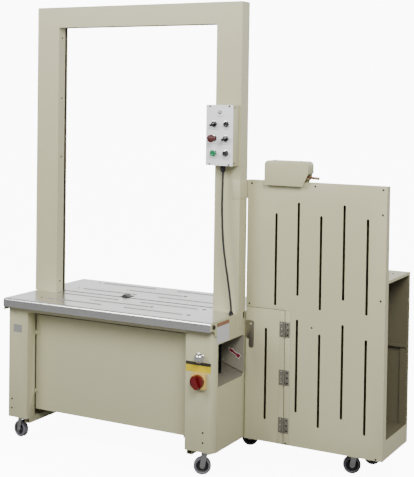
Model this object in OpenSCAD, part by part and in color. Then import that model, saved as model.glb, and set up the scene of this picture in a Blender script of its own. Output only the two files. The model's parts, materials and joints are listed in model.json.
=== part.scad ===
// Arch strapping machine on casters, with its strap dispenser cabinet.
// Modelled from the front left floor corner of the table, then moved so that
// the origin lies under the middle of the whole machine. +Z is up, -Y is the front.

/* [Table] */
// Length of the table along the strap
table_l = 1100; // [900:5:1330]
// Depth of the table from front to back
table_d = 650; // [600:5:790]
// Height of the table top above the floor
table_h = 668; // [620:2:810]
// Thickness of the stainless table sheet
table_t = 2; // [1.5:0.5:3]
// Radius of the rounded table edges
edge_r = 12; // [8:1:16]
// Drop of the front and rear skirts
skirt_h = 40; // [30:1:56]
// Drop of the left end skirt
end_skirt_h = 58; // [42:1:70]
// Width of the strap slit between the two table halves
slit_w = 16; // [10:1:18]
// Width of a pressed glide rib
rib_w = 14; // [8:1:20]
// Height of a pressed glide rib
rib_h = 3; // [1.5:0.5:5]
// Length of a pressed glide rib
rib_l = 305; // [150:5:365]

/* [Arch] */
// Width of an arch column
col_w = 125; // [100:5:150]
// Depth of the arch columns and beam
col_d = 70; // [60:2:84]
// Distance from the table's front edge to the arch
col_y = 250; // [208:2:300]
// Height of the arch top above the floor
arch_h = 2028; // [1690:2:2440]
// Height of the arch's top beam
beam_h = 96; // [80:2:120]
// Wall of the folded arch sheet
arch_t = 2; // [1.5:0.5:3]
// Distance from the arch's back face to the middle of the strap track
strap_inset = 12; // [10:1:16]
// Depth of the strap track channel
track_d = 20; // [14:1:26]

/* [Machine body] */
// Thickness of the folded panels
sheet_t = 2; // [1.5:0.5:3]
// Distance from the table's front edge to the front frame
leg_y = 38; // [30:1:46]
// Distance from the table's left edge to the left leg
leg_x = 12; // [12:1:24]
// Width of the left leg's face
leg_w = 107; // [90:1:130]
// Width of the right leg from its inner edge to the end panel
right_leg_w = 140; // [120:2:168]
// Outer radius of the right leg's folded corner
corner_r = 30; // [20:1:34]
// Depth of the front frame's folded sides
leg_d = 58; // [50:2:64]
// Height of the panels' lower edge above the floor
base_z = 106; // [98:1:126]
// Height of the front frame's top rail above the floor
rail_z = 606; // [560:2:660]
// Depth of the machine body measured from the table's front edge
body_back = 612; // [590:2:620]

/* [Front door] */
// Distance from the frame's face to the recessed door
door_recess = 62; // [58:1:74]
// Height of the door's lower edge above the floor
door_z = 143; // [120:1:170]
// Gap between the door and the frame
door_gap = 5; // [3:0.5:8]
// Depth of the door's folded rim
door_rim = 18; // [12:1:22]
// Radius of the door's hinge barrel
lug_r = 5; // [4:0.5:5]

/* [Strap inlet] */
// Width of the window in the right end panel
win_w = 234; // [180:2:236]
// Height of the window's lower edge above the floor
win_z = 384; // [340:2:420]
// Height of the window
win_h = 182; // [150:2:210]

/* [Control box] */
// Width of the control box
box_w = 131; // [124:1:158]
// Height of the control box
box_h = 263; // [250:1:316]
// Depth of the control box with its face plate
box_d = 60; // [48:1:72]
// Height of the control box's lower edge above the floor
box_z = 1314; // [1250:2:1380]
// Distance between the two columns of controls
button_pitch = 58; // [50:1:66]
// Radius of the controls' mounting holes
hole_r = 11; // [9:0.5:12]
// Gap round a part that slides or turns
gap = 0.3; // [0.2:0.05:0.4]

/* [Main switch] */
// Side of the square switch base
switch_w = 66; // [56:1:66]
// Thickness of the switch base
switch_t = 18; // [14:1:24]
// Radius of the rotary handle
handle_r = 30; // [22:1:30]
// Length of the rotary handle in front of its base
handle_l = 32; // [26:1:36]
// Radius of the adjusting knob's head
knob_r = 22; // [18:1:24]

/* [Casters] */
// Diameter of the caster wheels
wheel_d = 76; // [64:1:80]
// Width of the caster wheels
wheel_w = 28; // [22:1:32]
// Distance from the swivel axis to the wheel axle
trail = 20; // [18:1:24]
// Side of the square caster plate
plate_w = 56; // [50:1:56]

/* [Cabinet] */
// Width of the strap cabinet
cab_w = 640; // [600:5:770]
// Height of the strap cabinet's top above the floor
cab_top = 1250; // [1230:2:1500]
// Depth of the strap cabinet
cab_d = 327; // [300:1:392]
// Distance from the table's front edge to the cabinet's face
cab_y = 315; // [300:1:340]
// Gap between the machine and the cabinet
cab_gap = 6; // [4:0.5:12]
// Depth of the slotted strap pool box
pool_d = 37; // [30:1:44]
// Height of the reel bay's roof above the floor
roof_z = 856; // [830:2:920]
// Height of the plinth below the reel bay
plinth_h = 78; // [60:1:90]
// Width of a view slot
slot_w = 11; // [7:0.5:13]
// Length of a view slot
slot_l = 402; // [330:2:420]
// Distance between neighbouring view slots
slot_pitch = 104.5; // [96:0.5:106]
// Width of the cabinet's access door
hatch_w = 186; // [170:1:190]
// Height of the cabinet's access door
hatch_h = 586; // [560:1:600]

/* [Dispenser] */
// Width of the hood
hood_w = 205; // [180:1:246]
// Height of the hood above the cabinet's top
hood_h = 90; // [80:1:108]
// Radius of the reel flanges
flange_r = 225; // [180:1:236]
// Radius of the reel hub
hub_r = 100; // [80:1:120]
// Distance between the reel flanges
reel_w = 190; // [150:2:200]
// Radius of the hood's feed roller
roller_r = 20; // [14:0.5:22]

/* [Hidden] */
$fn = 48;

cream = [0.80, 0.79, 0.70];
steel = [0.72, 0.72, 0.73];
black = [0.08, 0.08, 0.08];
e = 1;

// Places along the strap and across the table
strap_y = col_y + col_d - strap_inset;
slit_front = strap_y - slit_w / 2;
slit_back = strap_y + slit_w / 2;
table_under = table_h - table_t;
beam_z = arch_h - beam_h;
right_col_x = table_l - col_w;
right_leg_x = table_l - right_leg_w;
leg_in_x = leg_x + leg_w;
door_y = leg_y + door_recess;
door_h = rail_z - 20 - door_z;

// Whole outline, used only to put the origin under its middle
cab_x = table_l + cab_gap;
cab_right = cab_x + cab_w;
handle_front = leg_y - switch_t - handle_l;
mid_x = cab_right / 2;
mid_y = (handle_front + table_d) / 2;

module placed() translate([-mid_x, -mid_y, 0]) children();
module block(a, b) translate(a) cube(b - a);
// A cylinder along Y from y to y + l
module rod_y(p, r, l) translate(p) rotate([-90, 0, 0]) cylinder(r=r, h=l);
module rod_x(p, r, l) translate(p) rotate([0, 90, 0]) cylinder(r=r, h=l);
// A flat outline in X and Z, given thickness towards +Y
module sheet_y(y, t) translate([0, y + t, 0]) rotate([90, 0, 0]) linear_extrude(t) children();
// A flat outline in Y and Z, given thickness towards +X
module sheet_x(x, t) translate([x, 0, 0]) rotate([90, 0, 90]) linear_extrude(t) children();
module rect(a, b) translate(a) square(b - a);
module rounded(a, b, r) {
    rect([a.x + r, a.y], [b.x - r, b.y]);
    rect([a.x, a.y + r], [b.x, b.y - r]);
    for (x = [a.x + r, b.x - r], y = [a.y + r, b.y - r]) translate([x, y]) circle(r=r);
}
module slot_outline(x, z, w, l) {
    rect([x - w / 2, z + w / 2], [x + w / 2, z + l - w / 2]);
    for (h = [w / 2, l - w / 2]) translate([x, z + h]) circle(d=w);
}

/* Machine frame and panels */
rail_w = 26;
rail_h = 24;
rail_t = 2.5;
rail_setback = 20;
floor_t = 3;
rail_xs = [leg_in_x - rail_w, right_leg_x];
rail_back = body_back - sheet_t;
cross_ys = [strap_y - 28, strap_y + 70];

module tube_y(x, y0, y1, z0, w, h, t) difference() {
    block([x, y0, z0], [x + w, y1, z0 + h]);
    block([x + t, y0 - e, z0 + t], [x + w - t, y1 + e, z0 + h - t]);
}

module base_frame() color(cream) {
    z0 = base_z - rail_h;
    t = sheet_t;
    for (x = rail_xs) tube_y(x, leg_y + rail_setback, rail_back, z0, rail_w, rail_h, rail_t);
    for (y = cross_ys) difference() {
        block([rail_xs[0] + rail_w, y, z0], [rail_xs[1], y + rail_w, base_z]);
        block([rail_xs[0], y + rail_t, z0 + rail_t], [rail_xs[1] + e, y + rail_w - rail_t, base_z - rail_t]);
    }
    // Floor plates at both ends, which carry the casters
    block([leg_x + t, leg_y + t, base_z], [leg_in_x - t, rail_back, base_z + floor_t]);
    block([right_leg_x + t, leg_y + t, base_z], [table_l - corner_r, rail_back, base_z + floor_t]);
}

// The hinge pins stand in lugs welded to the left leg
pin_r = 2.5;
lug_h = 12;
hinge_x = leg_in_x + lug_r + 1.5;
hinge_y = door_y - lug_r - 1;
lug_zs = [door_z + 82, door_z + 355];

module front_frame() color(cream) {
    t = sheet_t;
    block([leg_x, leg_y, base_z], [leg_in_x, leg_y + t, table_under]);
    block([leg_x, leg_y, base_z], [leg_x + t, leg_y + leg_d, table_under]);
    block([leg_in_x - t, leg_y, base_z], [leg_in_x, leg_y + leg_d, table_under]);
    block([leg_in_x, leg_y, rail_z], [right_leg_x, leg_y + t, table_under]);
    block([leg_in_x, leg_y, rail_z], [right_leg_x, leg_y + leg_d, rail_z + t]);
    for (z = lug_zs) {
        block([leg_in_x - t, hinge_y - 3, z - 5], [hinge_x + pin_r, hinge_y + 3, z - 2]);
        translate([hinge_x, hinge_y, z - 5]) cylinder(r=pin_r, h=lug_h + 7);
    }
}

module right_leg() color(cream) {
    t = sheet_t;
    z0 = base_z;
    h = table_under - base_z;
    hf = rail_z - base_z + 22;
    cx = table_l - corner_r;
    cy = leg_y + corner_r;
    block([right_leg_x, leg_y, z0], [cx, leg_y + t, z0 + h]);
    block([right_leg_x, leg_y, z0], [right_leg_x + t, leg_y + leg_d, z0 + h]);
    translate([cx, cy, z0]) rotate([0, 0, -90])
        rotate_extrude(angle=90) translate([corner_r - t, 0]) square([t, hf]);
}

module left_end_panel() color(cream) {
    y0 = leg_y + leg_d;
    vent_y = (y0 + body_back) / 2;
    sheet_x(leg_x, sheet_t) difference() {
        rect([y0, base_z], [body_back, table_under]);
        for (i = [0:5]) rounded([vent_y - 110, 330 + 22 * i], [vent_y + 110, 338 + 22 * i], 3.9);
    }
}

win_y = leg_y + corner_r + 2;
nose_z = table_h - 36;
cove_r = 28;
module right_end_panel() color(cream) {
    y0 = leg_y + corner_r;
    // The folded corner of the leg reaches the end sheet this far before its end
    meet = sqrt(2 * corner_r * sheet_t - sheet_t * sheet_t);
    difference() {
        sheet_x(table_l - sheet_t, sheet_t) {
            difference() {
                rect([y0, base_z], [body_back, table_h]);
                rect([win_y, win_z], [win_y + win_w, win_z + win_h]);
                rect([slit_front, table_h - 30], [slit_back, table_h + e]);
            }
            rect([edge_r, nose_z], [y0, table_h]);
            rect([0, nose_z], [edge_r, table_h - edge_r]);
            translate([edge_r, table_h - edge_r]) circle(r=edge_r);
            difference() {
                rect([edge_r, nose_z - cove_r], [y0 - meet - gap, nose_z]);
                translate([edge_r, nose_z - cove_r]) circle(r=cove_r);
            }
        }
        rod_x([table_l - 5, 23, table_h - 20], 4.2, 10);
    }
}

module rear_panel() color(cream) {
    x0 = leg_x + sheet_t;
    x1 = table_l - sheet_t;
    difference() {
        block([x0, body_back - sheet_t, base_z], [x1, body_back, table_under]);
        for (i = [0:7]) sheet_y(body_back - sheet_t - e, sheet_t + 2 * e)
            slot_outline(table_l / 2 - 140 + 40 * i, 300, 8, 120);
    }
}

module front_door() color(cream) {
    t = sheet_t;
    x0 = leg_in_x + door_gap - 1;
    x1 = right_leg_x - door_gap;
    difference() {
        block([x0, door_y, door_z], [x1, door_y + door_rim, door_z + door_h]);
        block([x0 + t, door_y + t, door_z + t], [x1 - t, door_y + door_rim + e, door_z + door_h - t]);
    }
    for (z = lug_zs) difference() {
        union() {
            translate([hinge_x, hinge_y, z]) cylinder(r=lug_r, h=lug_h);
            block([hinge_x, hinge_y + 2, z], [hinge_x + 16, door_y, z + lug_h]);
        }
        translate([hinge_x, hinge_y, z - e]) cylinder(r=pin_r + 0.08, h=lug_h + 2 * e);
    }
    block([x1 - 34, door_y - 3, door_z - 8], [x1 - 10, door_y, door_z + 16]);
}

/* Table */
rib_r = (rib_w * rib_w / 4 + rib_h * rib_h) / (2 * rib_h);
rib_first = col_w + 50;
rib_last = table_l - col_w - 70 - rib_l;
rib_mid = (rib_first + rib_last) / 2;
front_rows = [strap_y - 203, strap_y - 132, strap_y - 62];
rear_depth = table_d - slit_back;
rear_rows = [slit_back + 0.26 * rear_depth, slit_back + 0.5 * rear_depth, slit_back + 0.8 * rear_depth];

module rib(x, y) difference() {
    zc = table_h + rib_h - rib_r;
    half = rib_w / 2;
    union() {
        rod_x([x + half, y, zc], rib_r, rib_l - rib_w);
        for (dx = [half, rib_l - half]) translate([x + dx, y, zc]) sphere(r=rib_r);
    }
    block([x - 30, y - 30, zc - 30], [x + rib_l + 30, y + 30, table_h - table_t / 2]);
}

module ribs(rows) {
    for (i = [0, 2], x = [rib_first, rib_last]) rib(x, rows[i]);
    rib(rib_mid, rows[1]);
}

// Long bent edge with its skirt, front at y = 0, running along X
module edge_profile(drop) {
    difference() {
        union() {
            translate([edge_r, -edge_r]) circle(r=edge_r);
            rect([0, -drop], [edge_r, -edge_r]);
        }
        translate([edge_r, -edge_r]) circle(r=edge_r - table_t);
        rect([table_t, -drop - e], [2 * edge_r + e, -edge_r]);
        rect([edge_r, -edge_r - e], [2 * edge_r + e, e]);
    }
}

module table_half(y0, y1, front) {
    x1 = table_l - sheet_t;
    back = front ? y1 : y1 - edge_r;
    lead = front ? edge_r : y0;
    block([edge_r, lead, table_under], [x1, back, table_h]);
    // Left end: rounded edge and its deeper skirt
    translate([0, back, table_h]) rotate([90, 0, 0]) linear_extrude(back - lead) edge_profile(end_skirt_h);
    edge_y = front ? y0 : y1;
    sgn = front ? 1 : -1;
    translate([edge_r, edge_y, table_h]) scale([1, sgn, 1]) rotate([90, 0, 90])
        linear_extrude(x1 - edge_r) edge_profile(skirt_h);
    // Rounded corner where the two edges meet
    translate([edge_r, edge_y + sgn * edge_r, table_h - edge_r]) {
        difference() {
            sphere(r=edge_r);
            sphere(r=edge_r - table_t);
            translate([0, -2 * edge_r, -2 * edge_r]) cube([2 * edge_r, 4 * edge_r, 4 * edge_r]);
            translate([-2 * edge_r, sgn > 0 ? 0 : -2 * edge_r, -2 * edge_r])
                cube([4 * edge_r, 2 * edge_r, 4 * edge_r]);
            translate([-2 * edge_r, -2 * edge_r, -4 * edge_r]) cube(4 * edge_r);
        }
        translate([0, 0, edge_r - skirt_h]) difference() {
            cylinder(r=edge_r, h=skirt_h - edge_r);
            translate([0, 0, -e]) cylinder(r=edge_r - table_t, h=skirt_h);
            translate([0, -2 * edge_r, -e]) cube([2 * edge_r, 4 * edge_r, skirt_h]);
            translate([-2 * edge_r, sgn > 0 ? 0 : -2 * edge_r, -e]) cube([4 * edge_r, 2 * edge_r, skirt_h]);
        }
    }
    // Short lip that stiffens the slit
    slit_y = front ? y1 - table_t : y0;
    block([col_w + 10, slit_y, table_h - 16], [right_col_x - 10, slit_y + table_t, table_h]);
}

// Opening in the rear half where the sealing anvil rises
anvil_x = 470;
anvil_w = 56;
anvil_r = 17;
anvil_rise = 13;
anvil_d = 34;
anvil_play = 18;

module table_front_plate() color(steel) {
    table_half(0, slit_front, true);
    ribs(front_rows);
}

module table_rear_plate() color(steel) difference() {
    union() {
        table_half(slit_back, table_d, false);
        ribs(rear_rows);
    }
    block([anvil_x - anvil_w / 2 - 1, slit_back - e, table_h - 20],
        [anvil_x + anvil_w / 2 + 1, slit_back + anvil_d + anvil_play, table_h + e]);
}

/* Arch */
slot_y0 = slit_front;
slot_y1 = slit_back;

// Hollow column between x and x + col_w; side is the x of the wall that faces the opening
module column(x, open_right) {
    t = arch_t;
    x_open = open_right ? x + col_w - t : x;
    x_shut = open_right ? x : x + col_w - t;
    y0 = col_y + t;
    y1 = col_y + col_d - t;
    top = arch_h - t;
    block([x, col_y, table_h], [x + col_w, y0, arch_h]);
    block([x, y1, table_h], [x + col_w, col_y + col_d, arch_h]);
    block([x_shut, y0, table_h], [x_shut + t, y1, arch_h]);
    x_cap = open_right ? x + t : x;
    block([x_cap, y0, top], [x_cap + col_w - t, y1, arch_h]);
    // Two strips that leave the slot open
    block([x_open, y0, table_h], [x_open + t, slot_y0, top]);
    block([x_open, slot_y1, table_h], [x_open + t, y1, top]);
}

foot_w = 40;
module arch_left_column() color(cream) column(0, true);

module arch_right_column() color(cream) {
    column(right_col_x, false);
    block([table_l, col_y, rail_z - 6], [table_l + 1.5, col_y + foot_w, table_h + 90]);
}

module arch_top_beam() color(cream) {
    t = arch_t;
    difference() {
        block([col_w, col_y, beam_z], [right_col_x, col_y + col_d, arch_h]);
        block([col_w - e, col_y + t, beam_z + t], [right_col_x + e, col_y + col_d - t, arch_h - t]);
        block([col_w - e, slot_y0, beam_z - e], [right_col_x + e, slot_y1, beam_z + t + e]);
    }
}

// U-shaped strap channel, each run built of a back strip and two side strips
track_t = 3;
seam = 0.1;
module track_leg(x, dir) {
    x_back = dir > 0 ? x : x - track_t;
    x_side = dir > 0 ? x + track_t + seam : x - track_d;
    z0 = table_h + gap;
    z1 = beam_z + arch_t;
    block([x_back, slot_y0, z0], [x_back + track_t, slot_y1, z1]);
    for (y = [slot_y0, slot_y1 - track_t])
        block([x_side, y, z0], [x_side + track_d - track_t - seam, y + track_t, z1]);
}
module strap_track() color([0.2, 0.2, 0.2]) {
    xl = col_w - arch_t - gap - track_d;
    xr = right_col_x + arch_t + gap + track_d;
    z0 = beam_z + arch_t + seam;
    z1 = z0 + track_d;
    track_leg(xl, 1);
    track_leg(xr, -1);
    block([xl, slot_y0, z1 - track_t], [xr, slot_y1, z1]);
    for (y = [slot_y0, slot_y1 - track_t]) block([xl, y, z0], [xr, y + track_t, z1 - track_t - seam]);
}

/* Control box */
box_x = table_l - box_w - 8;
box_y = col_y - box_d;
plate_t = 2;
col_a = box_x + box_w / 2 - button_pitch / 2 + 5;
col_b = col_a + button_pitch;
row_top = box_z + box_h - 83;
row_mid = row_top - 62;
row_low = row_mid - 64;
lamp_pos = [(col_a + col_b) / 2 - 3, row_top + 52];
controls = [[col_a, row_top], [col_b, row_top], [col_a, row_mid], [col_b, row_mid],
    [col_a, row_low], [col_b, row_low]];

module control_box() color(cream) {
    t = sheet_t;
    y0 = box_y + plate_t;
    difference() {
        block([box_x, y0, box_z], [box_x + box_w, col_y, box_z + box_h]);
        block([box_x + t, y0 - e, box_z + t], [box_x + box_w - t, col_y - t, box_z + box_h - t]);
        translate([gland_x, gland_y, box_z - e]) cylinder(r=gland_hole_r, h=t + 2 * e);
    }
}

bezel_r = 14.5;
bezel_l = 5;
module control_face_plate() color([0.86, 0.86, 0.88]) difference() {
    union() {
        block([box_x, box_y, box_z], [box_x + box_w, box_y + plate_t, box_z + box_h]);
        for (c = controls) rod_y([c.x, box_y - bezel_l, c.y], bezel_r, bezel_l);
        rod_y([lamp_pos.x, box_y - 3, lamp_pos.y], 9, 3);
    }
    for (c = controls) rod_y([c.x, box_y - bezel_l - e, c.y], hole_r, bezel_l + plate_t + 2 * e);
    rod_y([lamp_pos.x, box_y - 3 - e, lamp_pos.y], 6, plate_t + 3 + 2 * e);
}

module pilot_lamp() color([0.8, 0.8, 0.75]) intersection() {
    rod_y([lamp_pos.x, box_y - 20, lamp_pos.y], 5.9, 40);
    union() {
        rod_y([lamp_pos.x, box_y - 5, lamp_pos.y], 5.9, 23);
        translate([lamp_pos.x, box_y - 2, lamp_pos.y]) sphere(r=7);
    }
}

// Stem that runs in the face plate's hole, with its head in front
stem_l = 24;
module stem(c) rod_y([c.x, box_y - bezel_l - 6, c.y], hole_r - gap, stem_l);

module selector(c, turn) {
    stem(c);
    rod_y([c.x, box_y - bezel_l - 7, c.y], 12.5, 6);
    translate([c.x, 0, c.y]) rotate([0, turn, 0])
        block([-4.5, box_y - bezel_l - 22, -14], [4.5, box_y - bezel_l - 6, 14]);
}
module speed_selector() color(black) selector(controls[0], 60);
module mode_selector() color(black) selector(controls[3], 60);

module push_button(c, r, l) {
    stem(c);
    rod_y([c.x, box_y - bezel_l - 6 - l, c.y], r, l);
}
module reset_button() color(black) push_button(controls[1], hole_r - gap, 2);
module feed_button() color(black) push_button(controls[5], hole_r - gap, 8);
module start_button() color([0.1, 0.5, 0.25]) push_button(controls[4], hole_r - gap, 9);
module stop_button() color([0.6, 0.15, 0.12]) {
    c = controls[2];
    stem(c);
    rod_y([c.x, box_y - bezel_l - 26, c.y], 8.5, 22);
    translate([c.x, box_y - bezel_l - 22, c.y]) rotate([90, 0, 0]) rotate_extrude() difference() {
        union() {
            square([17, 10]);
            translate([0, 10]) intersection() {
                translate([0, -20]) circle(r=26.25);
                square([17, 8]);
            }
        }
        translate([-30, -e]) square([30, 40]);
    }
}

/* Control cable and its fittings */
gland_x = 1031;
gland_y = 220;
gland_hole_r = 8.2;
gland_l = 28;
cable_r = 4.5;
entry = [1078, 225];
cable_pts = [[1031, 220, 1286], [1031, 220, 1266], [1031, 219, 1244], [1031, 218, 1220],
    [1031, 217, 1196], [1032, 215, 1172], [1032, 214, 1148], [1033, 213, 1124], [1034, 212, 1100],
    [1036, 211, 1076], [1037, 210, 1052], [1039, 210, 1028], [1041, 209, 1004], [1043, 209, 980],
    [1046, 209, 956], [1049, 209, 932], [1053, 210, 908], [1056, 210, 884], [1060, 211, 860],
    [1064, 212, 836], [1067, 213, 812], [1070, 215, 788], [1073, 217, 764], [1075, 219, 740],
    [1077, 222, 716], [1078, 224, 696], [1078, 225, 680], [1078, 225, 668]];

module cable_fittings() color(black) {
    translate([gland_x, gland_y, box_z - gland_l]) {
        translate([0, 0, 8]) cylinder(r=13, h=10, $fn=6);
        translate([0, 0, 18]) cylinder(r=12, h=gland_l - 18);
        cylinder(r1=9, r2=11.5, h=8);
        cylinder(r=gland_hole_r - 0.2, h=gland_l + 10);
    }
    translate([entry.x, entry.y, table_h]) difference() {
        union() {
            cylinder(r=11, h=5);
            cylinder(r1=8, r2=7, h=12);
        }
        translate([0, 0, -e]) cylinder(r=cable_r + 0.3, h=20);
    }
}

// Tube swept along the cable's points, with a ring at each of them
cable_sides = 8;
function unit(v) = v / norm(v);
function ring_dir(i) = unit(cable_pts[min(i + 1, len(cable_pts) - 1)] - cable_pts[max(i - 1, 0)]);
function ring_pts(i) = let (d = ring_dir(i), u = unit(cross(d, [0, 1, 0])), v = cross(d, u))
    [for (k = [0:cable_sides - 1]) cable_pts[i] + cable_r * (cos(360 * k / cable_sides) * u
        + sin(360 * k / cable_sides) * v)];

module control_cable() color(black) {
    n = len(cable_pts);
    s = cable_sides;
    points = [for (i = [0:n - 1]) each ring_pts(i)];
    sides = [for (i = [0:n - 2], k = [0:s - 1])
        [i * s + k, i * s + (k + 1) % s, (i + 1) * s + (k + 1) % s, (i + 1) * s + k]];
    ends = [[for (k = [0:s - 1]) s - 1 - k], [for (k = [0:s - 1]) (n - 1) * s + k]];
    polyhedron(points, concat(sides, ends));
}

/* Main switch and adjusting knob */
switch_x = table_l - corner_r - switch_w / 2 - 6;
switch_z = 411;
knob_pos = [switch_x + 6, 512];
shaft_r = 8;

module main_switch_base() color([0.85, 0.72, 0.3]) difference() {
    sheet_y(leg_y - switch_t, switch_t)
        rounded([switch_x - switch_w / 2, switch_z - switch_w / 2],
            [switch_x + switch_w / 2, switch_z + switch_w / 2], 3);
    rod_y([switch_x, leg_y - switch_t - e, switch_z], shaft_r, 13);
}

module main_switch_handle() color([0.5, 0.05, 0.05]) {
    y0 = handle_front;
    y1 = leg_y - switch_t - gap;
    rod_y([switch_x, y0 + 14, switch_z], handle_r, y1 - y0 - 14);
    rod_y([switch_x, y1 - e, switch_z], shaft_r - 0.05, 11);
    translate([switch_x, 0, switch_z]) rotate([0, -17, 0]) {
        sheet_y(y0, 15) rounded([-11, -handle_r + 1], [11, handle_r - 1], 9);
        sheet_y(y0 + 14, y1 - y0 - 14) polygon([[-8, -20], [8, -20], [0, -handle_r - 3]]);
    }
}

module adjusting_knob() color([0.85, 0.85, 0.86])
    translate([knob_pos.x, leg_y - gap, knob_pos.y]) rotate([90, 0, 0]) rotate_extrude() {
        square([14, 4]);
        square([7, 22]);
        intersection() {
            translate([0, 18]) difference() {
                square([knob_r, 24]);
                translate([knob_r - 4, 4]) square([5, 30]);
            }
            translate([0, 20]) circle(r=knob_r);
        }
        translate([knob_r - 4, 20]) circle(r=3.9);
    }

/* Plain plates */
plate_lift = 0.8;
module label_plates() {
    color([0.75, 0.75, 0.72]) block([38, leg_y - plate_lift, 507], [86, leg_y, 542]);
    color([0.85, 0.72, 0.15]) {
        block([right_leg_x + 2, leg_y - plate_lift, 446], [table_l - corner_r, leg_y, 489]);
        translate([table_l - corner_r, leg_y + corner_r, 446]) rotate([0, 0, -90])
            rotate_extrude(angle=22.5) translate([corner_r + 0.05, 0]) square([plate_lift, 43]);
    }
    color([0.8, 0.8, 0.8]) block([table_l, 56, 570], [table_l + plate_lift, 166, 658]);
}

/* Strap inlet guide */
guide_x0 = table_l - 106;
guide_x1 = table_l + cab_gap - 1;
guide_y1 = cab_y - 11;
guide_in_z = win_z + 58;
guide_out_z = win_z + 20;
guide_t = 2;
module strap_inlet_guide() color(cream) {
    top = win_z + win_h;
    y0 = guide_y1 - guide_t;
    // Back plate with the folded ledge that leads the strap up into the machine
    block([guide_x0, y0, win_z], [table_l - sheet_t, guide_y1, top - 3]);
    sheet_y(y0, guide_t) polygon([[table_l - sheet_t, guide_out_z + 2], [guide_x1, guide_out_z],
        [guide_x1, top - 3], [table_l - sheet_t, top - 3]]);
    sheet_y(y0 - 5, 5) polygon([[guide_x0, guide_in_z - 3], [guide_x1, guide_out_z - 3],
        [guide_x1, guide_out_z], [guide_x0, guide_in_z]]);
    // Shelf at the window's sill, and the tabs that carry the guide
    block([guide_x0, win_y, win_z - guide_t], [table_l - sheet_t, guide_y1, win_z]);
    block([guide_x0 + 10, guide_y1, top + 6], [table_l - sheet_t, guide_y1 + guide_t, top + 26]);
    block([guide_x0 + 10, y0, top - 6], [table_l - 30, guide_y1 + guide_t, top + 10]);
}

/* Sealing head below the slit */
head_x0 = 390;
head_x1 = 590;
head_t = 10;
head_z = 440;
shaft_y = strap_y + 20;
shaft_z = 520;
feed_y = strap_y - 60;

module head_frame() color([0.5, 0.52, 0.54]) {
    for (x = [head_x0, head_x1 - head_t]) difference() {
        block([x, strap_y - 110, head_z], [x + head_t, strap_y + 110, table_h - 40]);
        rod_x([x - e, shaft_y, shaft_z], 12.05, head_t + 2 * e);
        rod_x([x - e, feed_y, shaft_z + 40], 8.05, head_t + 2 * e);
    }
    block([head_x0, strap_y - 110, head_z - 10], [head_x1, strap_y + 110, head_z]);
    // Slide way for the anvil
    block([head_x0 + head_t, strap_y - 30, table_h - 56], [head_x1 - head_t, strap_y + 90, table_h - 46]);
    // Bearers to the two base rails
    for (x = [head_x0, head_x1 - 30], y = cross_ys)
        block([x, y + 4, base_z], [x + 30, y + 22, head_z - 10]);
}

module sealing_anvil() color([0.45, 0.42, 0.38]) {
    y0 = slit_back + 1;
    y1 = slit_back + anvil_d - 2;
    z0 = table_h - 46 + gap;
    half = anvil_w / 2 - 2;
    block([anvil_x - half, y0, z0], [anvil_x + half, y1, table_h]);
    intersection() {
        rod_y([anvil_x, y0, table_h + anvil_rise - anvil_r], anvil_r, y1 - y0);
        block([anvil_x - half, y0, table_h], [anvil_x + half, y1, table_h + anvil_rise]);
    }
}

module drive_motor() color([0.35, 0.37, 0.4]) {
    rod_x([head_x1, shaft_y, shaft_z], 62, 90);
    rod_x([head_x1 + 90, shaft_y, shaft_z], 56, 150);
    for (i = [0:7]) rod_x([head_x1 + 104 + 16 * i, shaft_y, shaft_z], 60, 6);
    block([head_x1 + 120, shaft_y - 25, shaft_z + 50], [head_x1 + 190, shaft_y + 25, shaft_z + 78]);
}

module cam_shaft() color([0.6, 0.6, 0.62]) {
    rod_x([head_x0 - 12, shaft_y, shaft_z], 12, head_x1 - head_x0 + 12 - gap);
    for (i = [0:4]) translate([head_x0 + 40 + 26 * i, shaft_y, shaft_z]) rotate([36 * i, 0, 0])
        rod_x([0, 7, 0], 30, 12);
}

module feed_roller() color([0.25, 0.25, 0.26]) {
    rod_x([head_x0 - 8, feed_y, shaft_z + 40], 8, head_x1 - head_x0 + 16);
    rod_x([head_x0 + 60, feed_y, shaft_z + 40], 28, 40);
}

module electrics_box() color([0.7, 0.7, 0.68]) difference() {
    block([760, body_back - 150, 200], [940, body_back - sheet_t, 450]);
    block([763, body_back - 151, 203], [937, body_back - 8, 447]);
}

/* Casters: swivel axis x, y and the rest angle of the wheel's heading */
caster_top = base_z - 3;
rear_y = body_back - 64;
rail_room = rail_w + plate_w / 2 + 3;
casters = [[leg_in_x - rail_room, 92, 168], [table_l - 56, 88, 208], [leg_in_x - rail_room, rear_y, 30],
    [table_l - 54, rear_y, 198], [cab_right - 155, cab_y + 116, 208], [cab_right - 155, cab_y + 258, 20]];
axle_r = 4;
hub_gap = 0.6;
fork_t = 2.5;

module caster_plates() color([0.7, 0.7, 0.72]) for (c = casters) translate([c.x, c.y, 0]) {
    translate([-plate_w / 2, -plate_w / 2, caster_top]) cube([plate_w, plate_w, 3]);
    translate([0, 0, caster_top - 5]) cylinder(r=22, h=5);
    translate([0, 0, caster_top - 16]) cylinder(r=5, h=12);
}

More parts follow.
